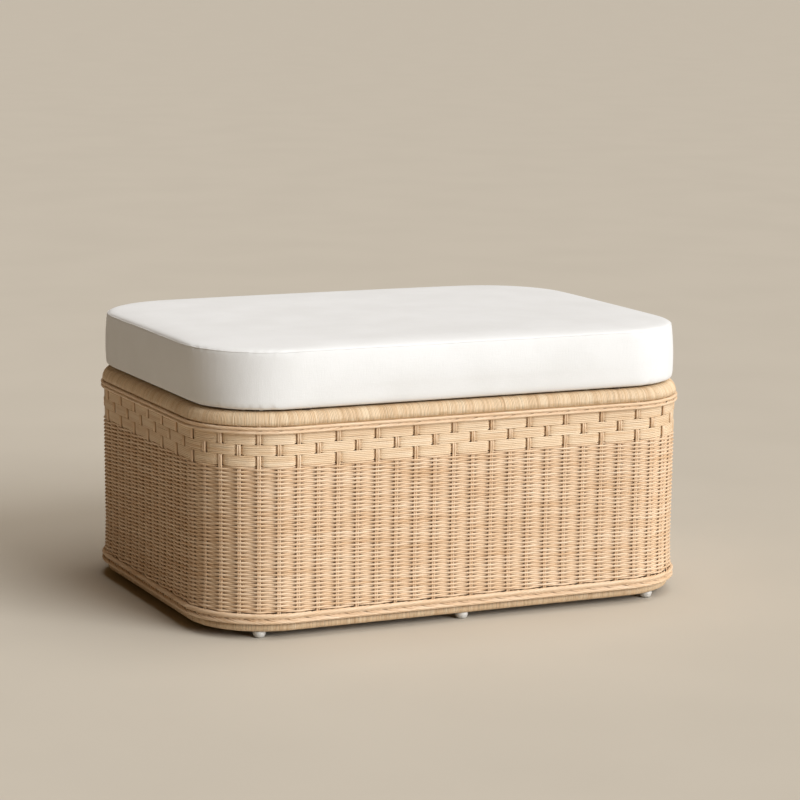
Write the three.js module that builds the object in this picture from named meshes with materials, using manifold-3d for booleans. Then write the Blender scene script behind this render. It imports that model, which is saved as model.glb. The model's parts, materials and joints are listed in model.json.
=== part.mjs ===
// A woven rattan ottoman with a storage bay under a hinged, upholstered lid.
//
// Millimetres, +Z up. The origin is on the floor, under the middle of the plan. X runs along the
// long side, the front faces -Y, and the lid's hinges are on the back rim, at +Y.
//
// Every ring and panel follows one plan outline, a rectangle with round corners, so a place on a
// wall is given as [inset, z]: the distance in from the widest outline, and the height.
import * as THREE from "three";
import { mergeVertices } from "three/addons/utils/BufferGeometryUtils.js";
import Module from "manifold-3d";

const wasm = await Module();
wasm.setup();

// Plan outline
const LENGTH = 800;
const DEPTH = 590;
const CORNER_RADIUS = 126;
const CORNER_STEPS = 6;
const GAP = 0.3; // clearance between neighbouring pieces
const ROUND_SIDES = 12; // sides of posts, feet, screws and hinge knuckles

// Heights of the woven base, from the floor up
const FOOT_HEIGHT = 10;
const BOTTOM_BRAID_BASE = 23;
const WEAVE_BASE = 38;
const BANDS_BASE = 250.7;
const BAND_PITCH = 15.7;
const BAND_ROWS = 3;
const TOP_BRAID_BASE = BANDS_BASE + BAND_ROWS * BAND_PITCH;
const TOP_RAIL_BASE = 308;
const RIM_TOP = 328;

// Base
const WRAP_THICKNESS = 1.6;
const WALL_THICKNESS = 7;
const BAND_INSET = 3;
const BAND_THICKNESS = 8;
const BRAID_WIDTH = 12;
const POST_RADIUS = 10;
const POST_INSET = 24;
const CORNER_POST_ANGLE = THREE.MathUtils.degToRad(25); // from the long sides' direction outwards
const PANEL_INSET = 13.2;
const PANEL_THICKNESS = 6;
const SLAT_WIDTH = 45;
const SLAT_SPACING = 180;
const FOOT_INSET = 23;

// Faces of the two rails as [inset, z], each running up its outer side
const BOTTOM_RAIL_FACE = [
  [36, 22.9],
  [35.6, 12],
  [33.4, FOOT_HEIGHT],
  [13.8, FOOT_HEIGHT],
  [11.2, 11.4],
  [9.8, 14.5],
  [9.6, 19],
  [10.4, 22.9],
];
const TOP_RAIL_FACE = [
  [2.9, TOP_RAIL_BASE + GAP],
  [2.8, 312],
  [3.7, 317.2],
  [5.9, 321.8],
  [9.2, 325.6],
  [13.4, RIM_TOP],
  [31, RIM_TOP],
  [33, 326],
  [33, TOP_RAIL_BASE + GAP],
];
// The woven wall is drawn in a little above its foot
const WALL_FACE = [
  [3.2, WEAVE_BASE + GAP],
  [4.6, 52],
  [5.6, 88],
  [4.9, 150],
  [4.1, BANDS_BASE - GAP],
];

// Lid
const COVER_BASE = 331.2;
const COVER_THICKNESS = 1.2;
const COVER_MARGIN_INSET = 40;
const BOARD_TOP = 341.5;
const SEAM_HEIGHT = 414;
const SEAT_TOP = 422;
const LID_CORNER_AT_BASE = 122.4;
const LID_CORNER_AT_SEAM = 140.6;
const DUST_COVER_INSET = 32;
const DUST_COVER_THICKNESS = 0.6;
const BUMPER_RADIUS = 7;
const BUMPER_X = 250;
const BUMPER_INSET = 22;
// The cover's side, from its stapled margin under the board up to the seam, and its top
const COVER_SIDE = [
  [COVER_MARGIN_INSET, COVER_BASE],
  [14.8, COVER_BASE],
  [12.4, 333.6],
  [9.2, 345],
  [6.9, 362],
  [6, 382],
  [6.1, 400],
  [6.6, SEAM_HEIGHT - GAP],
];
const COVER_TOP = [
  [6.7, SEAM_HEIGHT + 0.2],
  [7.8, 416.4],
  [11.8, 418.8],
  [20, 420.2],
  [45, 421.3],
  [120, SEAT_TOP],
];

// Hinges: leaves fold flat in the gap between the rim and the lid
const HINGE_X = 160;
const HINGE_LENGTH = 60;
const PIVOT_Y = 290;
const PIVOT_Z = 329.6;
const KNUCKLES = 5;
const KNUCKLE_RADIUS = 3;
const PIN_RADIUS = 1.2;
const LEAF_THICKNESS = 1.1;
const LEAF_FRONT_Y = 266;
const LEAF_BACK_Y = 286.6;
const BASE_LEAF_Z = RIM_TOP + GAP;
const LID_LEAF_Z = COVER_BASE - GAP - LEAF_THICKNESS;
const SCREW_X = 19;
const SCREW_Y = 275;
const SCREW_HEAD_RADIUS = 3;
const SCREW_SHANK_RADIUS = 1.5;
const SCREW_HEAD_DEPTH = 1.5;
const SCREW_LENGTH = 10.5;

// ---- Geometry helpers ----

// The plan outline, drawn in by inset, counterclockwise from above. corner is the radius that its
// corners would have at inset 0.
function outline(inset, corner = CORNER_RADIUS) {
  const radius = corner - inset;
  const points = [];
  for (let quarter = 0; quarter < 4; quarter++) {
    const signX = quarter === 0 || quarter === 3 ? 1 : -1;
    const signY = quarter < 2 ? 1 : -1;
    const centreX = signX * (LENGTH / 2 - corner);
    const centreY = signY * (DEPTH / 2 - corner);
    for (let step = 0; step <= CORNER_STEPS; step++) {
      const angle = ((quarter + step / CORNER_STEPS) * Math.PI) / 2;
      points.push([
        centreX + radius * Math.cos(angle),
        centreY + radius * Math.sin(angle),
      ]);
    }
  }
  return points;
}

function lathed(points, segments) {
  const profile = points.map(([radius, z]) => new THREE.Vector2(radius, z));
  return new THREE.LatheGeometry(profile, segments).rotateX(Math.PI / 2);
}

function cylinder(radius, height, segments) {
  return new THREE.CylinderGeometry(radius, radius, height, segments).rotateX(
    Math.PI / 2,
  );
}

// A surface through the outlines at each [inset, z] of a path, as positions and triangle corners.
function loft(path, cornerAt, closed) {
  const loops = path.map(([inset, z]) =>
    outline(inset, cornerAt(z)).map(([x, y]) => [x, y, z]),
  );
  const around = loops[0].length;
  const corners = [];
  const rows = closed ? loops.length : loops.length - 1;
  for (let row = 0; row < rows; row++) {
    const above = (row + 1) % loops.length;
    for (let i = 0; i < around; i++) {
      const next = (i + 1) % around;
      const [a, b] = [row * around + i, row * around + next];
      const [c, d] = [above * around + next, above * around + i];
      corners.push(a, b, c, a, c, d);
    }
  }
  return { positions: loops.flat(), corners, around };
}

function meshed(positions, corners) {
  const geometry = new THREE.BufferGeometry();
  const values = new Float32Array(positions.flat());
  geometry.setAttribute("position", new THREE.BufferAttribute(values, 3));
  geometry.setIndex(corners);
  geometry.computeVertexNormals();
  return geometry;
}

const baseCorner = () => CORNER_RADIUS;

// The lid's corners are tight at its foot and rounder at the seam.
function lidCorner(z) {
  const share = (z - COVER_BASE) / (SEAM_HEIGHT - COVER_BASE);
  return THREE.MathUtils.lerp(
    LID_CORNER_AT_BASE,
    LID_CORNER_AT_SEAM,
    THREE.MathUtils.clamp(share, 0, 1),
  );
}

// A closed ring of the given section, whose [inset, z] points run up the outer side.
function ring(section, cornerAt = baseCorner) {
  const { positions, corners } = loft(section, cornerAt, true);
  return meshed(positions, corners);
}

// A solid from the middle of its underside out to its edge and back to the middle of its top.
function panel(path, cornerAt = baseCorner) {
  const { positions, corners, around } = loft(path, cornerAt, false);
  const lastRow = (path.length - 1) * around;
  const under = positions.push([0, 0, path[0][1]]) - 1;
  const over = positions.push([0, 0, path.at(-1)[1]]) - 1;
  for (let i = 0; i < around; i++) {
    const next = (i + 1) % around;
    corners.push(under, next, i, over, lastRow + i, lastRow + next);
  }
  return meshed(positions, corners);
}

// A face's path moved into the piece by distance, when it runs up the outer side.
function offset(path, distance) {
  return path.map(([inset, z], i) => {
    const [inset0, z0] = path[Math.max(i - 1, 0)];
    const [inset1, z1] = path[Math.min(i + 1, path.length - 1)];
    const length = Math.hypot(inset1 - inset0, z1 - z0);
    return [
      inset + (distance * (z1 - z0)) / length,
      z - (distance * (inset1 - inset0)) / length,
    ];
  });
}

// The ring section of a skin of the given thickness behind a face.
function skin(face, thickness) {
  return [...face, ...offset(face, thickness).reverse()];
}

// A wall's ring section, with level edges.
function wall(face, thickness) {
  const back = face.map(([inset, z]) => [inset + thickness, z]);
  return [...face, ...back.reverse()];
}

function oval(centreInset, centreZ, width, height, steps) {
  return Array.from({ length: steps }, (_, i) => {
    const angle = (i * 2 * Math.PI) / steps + Math.PI / steps;
    return [
      centreInset - (width / 2) * Math.cos(angle),
      centreZ + (height / 2) * Math.sin(angle),
    ];
  });
}

function toSolid(geometry) {
  const bare = geometry.clone();
  bare.deleteAttribute("normal");
  bare.deleteAttribute("uv");
  const merged = mergeVertices(bare, 1e-4);
  const mesh = new wasm.Mesh({
    numProp: 3,
    vertProperties: merged.attributes.position.array,
    triVerts: new Uint32Array(merged.index.array),
  });
  return new wasm.Manifold(mesh);
}

function toGeometry(solid) {
  const mesh = solid.getMesh();
  const geometry = new THREE.BufferGeometry();
  geometry.setAttribute(
    "position",
    new THREE.BufferAttribute(mesh.vertProperties, 3),
  );
  geometry.setIndex(new THREE.BufferAttribute(mesh.triVerts, 1));
  geometry.computeVertexNormals();
  return geometry;
}

function cut(geometry, tools) {
  let solid = toSolid(geometry);
  for (const tool of tools) solid = solid.subtract(toSolid(tool));
  return toGeometry(solid);
}

function join(geometries) {
  let solid = toSolid(geometries[0]);
  for (const other of geometries.slice(1)) solid = solid.add(toSolid(other));
  return toGeometry(solid);
}

// ---- The assembly ----

const ottoman = new THREE.Group();
const lid = new THREE.Group();
ottoman.add(lid);

const FINISHES = {
  rattan: { color: 0xd9b07c, roughness: 0.55, metalness: 0 },
  wood: { color: 0xc9a36b, roughness: 0.65, metalness: 0 },
  plywood: { color: 0xd8ba88, roughness: 0.7, metalness: 0 },
  fabric: { color: 0xe9e6e0, roughness: 0.95, metalness: 0 },
  lining: { color: 0x3a3835, roughness: 0.95, metalness: 0 },
  foam: { color: 0xe8dfb0, roughness: 0.95, metalness: 0 },
  steel: { color: 0xb4b0a8, roughness: 0.35, metalness: 1 },
  plastic: { color: 0xe6e4de, roughness: 0.45, metalness: 0 },
  felt: { color: 0x4a443d, roughness: 1, metalness: 0 },
};

function add(name, geometry, finish, parent = ottoman, place = [0, 0, 0]) {
  const material = new THREE.MeshStandardMaterial(FINISHES[finish]);
  const mesh = new THREE.Mesh(geometry, material);
  mesh.name = name;
  mesh.position.set(...place);
  parent.add(mesh);
}

// ---- Screws ----

// A countersunk screw with its head's face at z 0, pointing down. clearance swells it into the
// shape of its own hole.
function screw(clearance) {
  const head = SCREW_HEAD_RADIUS + clearance;
  const shank = SCREW_SHANK_RADIUS + clearance;
  return lathed(
    [
      [0, -SCREW_LENGTH - clearance],
      [shank, -SCREW_LENGTH + SCREW_SHANK_RADIUS],
      [shank, -SCREW_HEAD_DEPTH],
      [head, 0],
      [head, 3 * clearance],
      [0, 3 * clearance],
    ],
    ROUND_SIDES,
  );
}

// The screws' places in one hinge, for the leaf on the rim and the leaf under the lid.
const HINGE_SIDES = { left: -HINGE_X, right: HINGE_X };
const SCREW_PLACES = [-SCREW_X, SCREW_X];
const BASE_SCREW_Z = BASE_LEAF_Z + LEAF_THICKNESS - 0.1;
const LID_SCREW_Z = LID_LEAF_Z + 0.1;

const baseScrewHoles = [];
const lidScrewHoles = [];
for (const x of Object.values(HINGE_SIDES)) {
  for (const shift of SCREW_PLACES) {
    baseScrewHoles.push(
      screw(GAP).translate(x + shift, SCREW_Y, BASE_SCREW_Z),
    );
    lidScrewHoles.push(
      screw(GAP).rotateX(Math.PI).translate(x + shift, SCREW_Y, LID_SCREW_Z),
    );
  }
}

// ---- Frame ----

function addRail(name, face, holes) {
  const core = offset(face, WRAP_THICKNESS + GAP);
  add(name, cut(ring(core), holes), "wood");
  add(name + "_wrap", cut(ring(skin(face, WRAP_THICKNESS)), holes), "rattan");
}

// Where a post or a foot stands, on the line of the given inset. side is 1 at the back.
function standingPlaces(inset) {
  const radius = CORNER_RADIUS - inset;
  const x = LENGTH / 2 - CORNER_RADIUS + radius * Math.sin(CORNER_POST_ANGLE);
  const y = DEPTH / 2 - CORNER_RADIUS + radius * Math.cos(CORNER_POST_ANGLE);
  return {
    front_left: [-x, -y],
    front_middle: [0, -(DEPTH / 2 - inset)],
    front_right: [x, -y],
    back_left: [-x, y],
    back_middle: [0, DEPTH / 2 - inset],
    back_right: [x, y],
  };
}

function addPosts() {
  const base = BOTTOM_BRAID_BASE + GAP;
  const height = TOP_RAIL_BASE - base;
  for (const [place, [x, y]] of Object.entries(standingPlaces(POST_INSET)))
    add("post_" + place, cylinder(POST_RADIUS, height, ROUND_SIDES), "wood", ottoman, [
      x,
      y,
      base + height / 2,
    ]);
}

function addBasePanel() {
  const base = BOTTOM_BRAID_BASE + GAP;
  const top = base + PANEL_THICKNESS;
  const notches = Object.values(standingPlaces(POST_INSET)).map(([x, y]) =>
    cylinder(POST_RADIUS + GAP, 4 * PANEL_THICKNESS, ROUND_SIDES).translate(x, y, base),
  );
  const blank = panel([
    [PANEL_INSET, base],
    [PANEL_INSET, top],
  ]);
  add("base_panel", cut(blank, notches), "plywood");
}

function addBaseSlats() {
  const [innerInset] = BOTTOM_RAIL_FACE[0];
  const length = DEPTH - 2 * (innerInset + GAP);
  const height = BOTTOM_BRAID_BASE - FOOT_HEIGHT - 2 * GAP;
  for (const index of [1, 2, 3])
    add(
      "base_slat_" + index,
      new THREE.BoxGeometry(SLAT_WIDTH, length, height),
      "wood",
      ottoman,
      [
        (index - 2) * SLAT_SPACING,
        0,
        BOTTOM_BRAID_BASE - GAP / 2 - height / 2,
      ],
    );
}

function addFeet() {
  const profile = [
    [0, 0],
    [6.5, 0],
    [8.6, 1.6],
    [9.4, 4.5],
    [9.4, 8],
    [8.4, FOOT_HEIGHT - GAP],
    [0, FOOT_HEIGHT - GAP],
  ];
  for (const [place, [x, y]] of Object.entries(standingPlaces(FOOT_INSET)))
    add("foot_" + place, lathed(profile, ROUND_SIDES), "plastic", ottoman, [x, y, 0]);
}

// ---- Woven skin ----

function addBraid(name, base, top, width) {
  const height = top - base - 2 * GAP;
  const section = oval(width / 2 + GAP, (base + top) / 2, width, height, 8);
  add(name, ring(section), "rattan");
}

function addBands() {
  for (let row = 1; row <= BAND_ROWS; row++) {
    const top = TOP_BRAID_BASE - (row - 1) * BAND_PITCH;
    const face = [
      [BAND_INSET, top - BAND_PITCH + GAP / 2],
      [BAND_INSET, top - GAP / 2],
    ];
    add("band_row_" + row, ring(wall(face, BAND_THICKNESS)), "rattan");
  }
}

// ---- Lid ----

function addCushion() {
  const sideBand = cut(ring(skin(COVER_SIDE, COVER_THICKNESS), lidCorner), [
    ...lidScrewHoles,
  ]);
  add("cover_side_band", sideBand, "fabric", lid);
  const underTop = offset(COVER_TOP, COVER_THICKNESS);
  const topPanel = panel([...underTop.reverse(), ...COVER_TOP], lidCorner);
  add("cover_top_panel", topPanel, "fabric", lid);

  const inside = COVER_THICKNESS + GAP;
  const aboveBoard = COVER_SIDE.filter(([, z]) => z > BOARD_TOP);
  const foam = [
    [13, BOARD_TOP + GAP],
    ...offset(aboveBoard, inside),
    ...offset(COVER_TOP, inside),
  ];
  add("cushion_foam", panel(foam, lidCorner), "foam", lid);
}

function addLidBoard() {
  const base = COVER_BASE + COVER_THICKNESS + GAP;
  const board = panel(
    [
      [16.5, base],
      [14.2, base + 2.3],
      [14.2, BOARD_TOP],
    ],
    lidCorner,
  );
  add("lid_board", cut(board, lidScrewHoles), "plywood", lid);
}

function addDustCover() {
  const top = COVER_BASE - GAP;
  const sheet = panel(
    [
      [DUST_COVER_INSET, top - DUST_COVER_THICKNESS],
      [DUST_COVER_INSET, top],
    ],
    lidCorner,
  );
  add("dust_cover", sheet, "lining", lid);
}

function addBumpers() {
  const y = DEPTH / 2 - BUMPER_INSET;
  const height = COVER_BASE - RIM_TOP - 2 * GAP;
  const z = RIM_TOP + GAP + height / 2;
  const places = {
    front_left: [-BUMPER_X, -y],
    front_right: [BUMPER_X, -y],
    back_left: [-BUMPER_X, y],
    back_right: [BUMPER_X, y],
  };
  for (const [place, [x, side]] of Object.entries(places))
    add("bumper_" + place, cylinder(BUMPER_RADIUS, height, ROUND_SIDES), "felt", lid, [
      x,
      side,
      z,
    ]);
}

// ---- Hinges ----

// One leaf of a butt hinge: a plate, and every second knuckle from the first one given.
function leaf(plateZ, firstKnuckle, holes) {
  const pitch = HINGE_LENGTH / KNUCKLES;
  const bore = cylinder(PIN_RADIUS + GAP, 2 * HINGE_LENGTH, ROUND_SIDES)
    .rotateY(Math.PI / 2)
    .translate(0, PIVOT_Y, PIVOT_Z);
  const plateDepth = LEAF_BACK_Y - LEAF_FRONT_Y;
  const parts = [
    new THREE.BoxGeometry(HINGE_LENGTH, plateDepth, LEAF_THICKNESS).translate(
      0,
      LEAF_FRONT_Y + plateDepth / 2,
      plateZ + LEAF_THICKNESS / 2,
    ),
  ];
  for (let k = firstKnuckle; k < KNUCKLES; k += 2) {
    const x = -HINGE_LENGTH / 2 + (k + 0.5) * pitch;
    const width = pitch - GAP;
    const reach = PIVOT_Y - LEAF_BACK_Y + 1;
    parts.push(
      new THREE.BoxGeometry(width, reach, LEAF_THICKNESS).translate(
        x,
        PIVOT_Y - reach / 2,
        plateZ + LEAF_THICKNESS / 2,
      ),
      cylinder(KNUCKLE_RADIUS, width, ROUND_SIDES)
        .rotateY(Math.PI / 2)
        .translate(x, PIVOT_Y, PIVOT_Z),
    );
  }
  return cut(join(parts), [bore, ...holes]);
}

function addHinge(side, x) {
  const baseHoles = SCREW_PLACES.map((shift) =>
    screw(GAP).translate(shift, SCREW_Y, BASE_SCREW_Z),
  );
  const lidHoles = SCREW_PLACES.map((shift) =>
    screw(GAP).rotateX(Math.PI).translate(shift, SCREW_Y, LID_SCREW_Z),
  );
  const at = [x, 0, 0];
  add(
    "hinge_base_leaf_" + side,
    leaf(BASE_LEAF_Z, 0, baseHoles),
    "steel",
    ottoman,
    at,
  );
  add("hinge_lid_leaf_" + side, leaf(LID_LEAF_Z, 1, lidHoles), "steel", lid, at);
  add(
    "hinge_pin_" + side,
    cylinder(PIN_RADIUS, HINGE_LENGTH, ROUND_SIDES).rotateY(Math.PI / 2),
    "steel",
    ottoman,
    [x, PIVOT_Y, PIVOT_Z],
  );
  SCREW_PLACES.forEach((shift, index) => {
    const name = side + "_" + (index + 1);
    add("rim_screw_" + name, screw(0), "steel", ottoman, [
      x + shift,
      SCREW_Y,
      BASE_SCREW_Z,
    ]);
    add("lid_screw_" + name, screw(0).rotateX(Math.PI), "steel", lid, [
      x + shift,
      SCREW_Y,
      LID_SCREW_Z,
    ]);
  });
}

addRail("bottom_rail", BOTTOM_RAIL_FACE, []);
addRail("top_rail", TOP_RAIL_FACE, baseScrewHoles);
addPosts();
addBaseSlats();
addBasePanel();
addFeet();
addBraid("bottom_braid", BOTTOM_BRAID_BASE, WEAVE_BASE, BRAID_WIDTH);
add("woven_wall", ring(wall(WALL_FACE, WALL_THICKNESS)), "rattan");
addBands();
addBraid("top_braid", TOP_BRAID_BASE, TOP_RAIL_BASE, BRAID_WIDTH - 2);
addLidBoard();
addCushion();
addDustCover();
addBumpers();
for (const [side, x] of Object.entries(HINGE_SIDES)) addHinge(side, x);

export default ottoman;
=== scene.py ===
"""A woven rattan ottoman with a storage bay under its hinged, upholstered lid.

Every length is in metres. A place on a wall is (s, inset, z): s is the distance along the widest
plan outline, anticlockwise from above from the back end of the left side, and inset is how far in
from that outline it lies.
"""

import json
import math

import bpy
import numpy as np
from mathutils import Matrix, Vector


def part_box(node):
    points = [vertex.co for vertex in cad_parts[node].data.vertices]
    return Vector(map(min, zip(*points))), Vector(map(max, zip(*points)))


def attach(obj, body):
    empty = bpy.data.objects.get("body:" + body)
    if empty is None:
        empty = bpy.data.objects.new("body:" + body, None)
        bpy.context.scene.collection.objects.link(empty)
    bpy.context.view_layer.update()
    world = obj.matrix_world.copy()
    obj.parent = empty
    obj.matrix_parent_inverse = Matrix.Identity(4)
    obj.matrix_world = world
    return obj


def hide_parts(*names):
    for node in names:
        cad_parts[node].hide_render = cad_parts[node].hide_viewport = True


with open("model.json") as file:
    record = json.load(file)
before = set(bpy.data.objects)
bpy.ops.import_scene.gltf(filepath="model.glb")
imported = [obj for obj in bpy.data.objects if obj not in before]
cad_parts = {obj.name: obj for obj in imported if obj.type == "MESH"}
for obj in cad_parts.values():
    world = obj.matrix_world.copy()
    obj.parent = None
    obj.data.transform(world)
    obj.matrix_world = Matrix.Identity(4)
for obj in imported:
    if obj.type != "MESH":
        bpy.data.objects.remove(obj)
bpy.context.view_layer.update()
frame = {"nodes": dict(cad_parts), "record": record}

SEED = 7
MM = 0.001
FULL_TURN = 2 * math.pi
QUARTER = math.pi / 2

# ---- Plan outline, from the frame ----

BAND_INSET = 3 * MM  # how far in from the widest outline the faces of the band rows lie
HALF_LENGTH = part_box("band_row_1")[1].x + BAND_INSET
HALF_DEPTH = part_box("band_row_1")[1].y + BAND_INSET
CORNER = 126 * MM
SIDE_RUN = 2 * (HALF_DEPTH - CORNER)
FRONT_RUN = 2 * (HALF_LENGTH - CORNER)
CORNER_RUN = QUARTER * CORNER
PERIMETER = 2 * (SIDE_RUN + FRONT_RUN) + 4 * CORNER_RUN

# ---- Weave ----

WALL_HEIGHTS = np.array([23, 38, 52, 88, 150, 250, 308]) * MM
WALL_INSETS = np.array([7.0, 7.4, 8.6, 9.6, 9.0, 8.2, 7.4]) * MM  # of the wall's middle at those heights
STRAND_SIDES = 6
SWAY = (0.1 * MM, 0.22 * MM)  # least and most rise and fall of a strand round the plan
SWAY_WAVES = 12

STAKES = 84
STAKE_PITCH = PERIMETER / STAKES
FIRST_STAKE = 481 * MM  # a stake that stands in front of the first and third band rows
STAKE_ROD_RADIUS = 1.5 * MM
STAKE_ROD_SPREAD = 1.03  # half the distance between the two rods of a stake, in their radii
STAKE_ROD_SIDES = 8
STAKE_BEND = 1.6 * MM  # how far a stake bends out where it shows in front of a band, or in behind one
STAKE_BEND_EDGE = 0.6 * MM  # how far inside the edges of a band that bend begins and ends
STAKE_STAND = 0.7 * MM  # how far out of the wall's middle it stands elsewhere
STAKE_TOP = 4 * MM  # how far a stake runs into the top rail
STAKE_STRAIGHT = 6 * MM  # the length at its top that is straight again
STAKE_BEND_RUN = 4 * MM  # how far below the lowest band it starts to bend
STAKE_STEPS = 9  # how many times it is shaped below that

WEAVER_RADIUS = 1.67 * MM
WEAVER_SWING = 2.5 * MM  # how far a weaver passing in front of a stake stands out from the wall's middle
WEAVER_SHARPNESS = 2.0  # above 1, a weaver bends mostly beside the stakes
WEAVER_PITCH = 2.86 * MM
WEAVER_STEPS = np.array([0, 0.12, 0.3, 0.7, 0.88])  # where each weaver is shaped, from stake to stake
WALL_PIECES = 4

BAND_STRANDS = 6
BAND_FLATNESS = 0.62  # thickness of a band's strands over their width
BAND_FACE = 1.3 * MM  # how far the flat face of a band stands out from the wall's middle
BAND_DROP = 3.5 * MM  # and how far it drops behind a stake
BAND_DIP = 6.0 * MM  # half width of that dip
BAND_PINCH = 0.2  # share of its height that a band loses in the dip
BAND_MARGIN = 0.05  # how much nearer the row's edges than half a pitch its outer strands lie, in pitches
BAND_FILL = 0.57  # radius of a strand over the pitch: above 0.5, neighbours touch
BAND_STEPS = np.array([0, 0.09, 0.14, 0.19, 0.26, 0.5, 0.74, 0.81, 0.86, 0.91])

BRAID_STEPS = np.linspace(0, 1, 8, endpoint=False)
BRAID_BUNDLES = 4
BRAID_SHOWN = 0.38  # share of a period in which a bundle runs in front from an edge to the middle
BRAID_INSET = 3.1  # inset of a braid's middle from its CAD ring's face, in strand radii
BRAID_DEPTH = 2.5  # how far a bundle runs out and in from that middle, in strand radii
BRAID_LAP = 0.2  # how far inside the ring's edges the middles of its outermost strands stay, in radii
BUNDLE_STRANDS = 3
BUNDLE_SPREAD = 0.075  # how far apart along the braid the strands of one bundle run, in periods

WRAP_SIDES = 15
TURN_WIDTH = 2.2 * MM
TURN_HEIGHT = 0.7 * MM
TURN_SINK = 0.7  # share of its height that a turn of peel lies below the CAD's face
TURN_SHAPE = ((0.0, 0.0), (0.16, 0.75), (0.5, 1.0), (0.84, 0.75))  # (share of the width, of the height)
TURN_LEAN = 0.05
TURN_WIDTHS = (0.8, 1.2)  # the range of a turn's width, as a share of the mean
TURN_HEIGHTS = (0.7, 1.1)  # the range of its ridge's height, as a share of TURN_HEIGHT
TURN_PAINTED_SHADES = (0.4, 1.0)  # the range of how dark the painted shade in the groove beside a turn is

# Each strand has a number, which sets its tone. These are the first ones of each kind.
BAND_NUMBER = 200
TOP_BRAID_NUMBER = 300
BOTTOM_BRAID_NUMBER = 400
TURN_NUMBER = 500.0
ROD_NUMBER = 700.0

# ---- Lid ----

LID_CORNER_AT_BASE = 122.4 * MM
LID_CORNER_AT_SEAM = 140.6 * MM
LEAST_LID_CORNER = 12 * MM
SEAM_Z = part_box("cover_side_band")[1].z + 0.2 * MM
COVER_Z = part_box("cover_side_band")[0].z
COVER_HANG = 0.9 * MM  # how far the soft cover hangs below the CAD cover
MARGIN_INSET = 40 * MM
BOARD_CLEARANCE = 0.4 * MM
AROUND = 176
CLOTH_VOXEL = 6 * MM
CLOTH_FRAMES = 20
CLOTH_QUALITY = 5
HELD_HEIGHT = 14 * MM  # the cover is held to the board up to this height above its lower edge
SWELL_PRESSURE = 0.15
SWELL_CAP = 3 * MM
SWELL_SMOOTHING = 12
SEAM_INSET = 6.6 * MM
SEAM_STEPS = 1300
SEAM_SIDES = 6
SEAM_STAND = 0.7 * MM
SEAM_HALF_WIDTH = 0.9 * MM
SEAM_WAVER = 1.2 * MM
SEAM_WAVER_STEPS = 31  # how many steps its wavering is averaged over

# ---- Camera, light and stage ----

CAMERA_AT = (-1.749, -3.811, 0.986)
CAMERA_YAW = math.radians(24.937)
CAMERA_PITCH = math.radians(9.507)
CAMERA_ROLL = math.radians(0.556)
CAMERA_LENS = 123.64
CAMERA_SENSOR = 36
CAMERA_REACH = 100
KEY_FROM = (0.42, -0.80, 0.43)
KEY_STRENGTH = 3.3
KEY_SOFTNESS = math.radians(42)
KEY_COLOUR = (0.94, 0.97, 1.0)
SKY_FROM = (0.3, -0.15, 1.0)
SKY_STRENGTH = 1.8
SKY_SOFTNESS = math.radians(60)
SKY_COLOUR = (0.99, 0.965, 0.93)
SURROUND_COLOUR = (1.0, 0.58, 0.22)
SURROUND_STRENGTH = 0.085
FLOOR_HALF = 60.0
FLOOR_COLOUR = (0.55, 0.50, 0.42)
BACKDROP_RADIUS = 46.0
BACKDROP_HEIGHT = 40.0
BACKDROP_SIDES = 64
BACKDROP_COLOUR = (0.56, 0.51, 0.43)


def circle(sides):
    """Angles of points evenly round a circle."""
    return np.linspace(0, FULL_TURN, sides, endpoint=False)


def plan(s, inset):
    """Points and outward normals of the plan outline, drawn in by inset, at the distances s."""
    s = np.mod(s, PERIMETER)
    runs = [SIDE_RUN, FRONT_RUN, SIDE_RUN, FRONT_RUN]
    hx, hy = HALF_LENGTH - CORNER, HALF_DEPTH - CORNER
    centres = [(-hx, -hy), (hx, -hy), (hx, hy), (-hx, hy)]
    angle = np.zeros_like(s)
    cx, cy = np.zeros_like(s), np.zeros_like(s)
    start = 0.0
    for side in range(4):
        normal_angle = math.pi + side * QUARTER
        tangent = (-math.sin(normal_angle), math.cos(normal_angle))
        x1, y1 = centres[side]
        along = s - start
        on_run = (along >= 0) & (along < runs[side])
        back = along - runs[side]
        cx = np.where(on_run, x1 + back * tangent[0], cx)
        cy = np.where(on_run, y1 + back * tangent[1], cy)
        angle = np.where(on_run, normal_angle, angle)
        on_corner = (back >= 0) & (back <= CORNER_RUN)
        cx = np.where(on_corner, x1, cx)
        cy = np.where(on_corner, y1, cy)
        angle = np.where(on_corner, normal_angle + back / CORNER, angle)
        start += runs[side] + CORNER_RUN
    nx, ny = np.cos(angle), np.sin(angle)
    reach = CORNER - inset
    return cx + reach * nx, cy + reach * ny, nx, ny


def section_of(node):
    """The section of a ring node, as (inset, z) points in order round its convex outline."""
    corner_x = HALF_LENGTH - CORNER
    co = np.array([v.co for v in frame["nodes"][node].data.vertices])
    near = co[(abs(co[:, 0] - corner_x) < 1 * MM) & (co[:, 1] < 0)]
    points = sorted({(round(p[1] + HALF_DEPTH, 5), round(p[2], 5)) for p in near})

    def half_hull(ordered):
        """One side of the convex hull, without its last point."""
        hull = []
        for p in ordered:
            while len(hull) > 1:
                (ax, ay), (bx, by) = hull[-2], hull[-1]
                if (bx - ax) * (p[1] - ay) - (by - ay) * (p[0] - ax) > 0:
                    break
                hull.pop()
            hull.append(p)
        return hull[:-1]

    return np.array(half_hull(points) + half_hull(points[::-1]))


def rounded(section, count):
    """A closed section with its corners cut, at count points evenly round it."""
    for _ in range(3):
        after = np.roll(section, -1, axis=0)
        cut = np.stack([0.75 * section + 0.25 * after, 0.25 * section + 0.75 * after], axis=1)
        section = cut.reshape(-1, 2)
    closed = np.vstack([section, section[:1]])
    lengths = np.concatenate([[0], np.cumsum(np.hypot(*np.diff(closed, axis=0).T))])
    at = np.linspace(0, lengths[-1], count, endpoint=False)
    return np.stack([np.interp(at, lengths, closed[:, k]) for k in (0, 1)], axis=1), at


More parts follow.
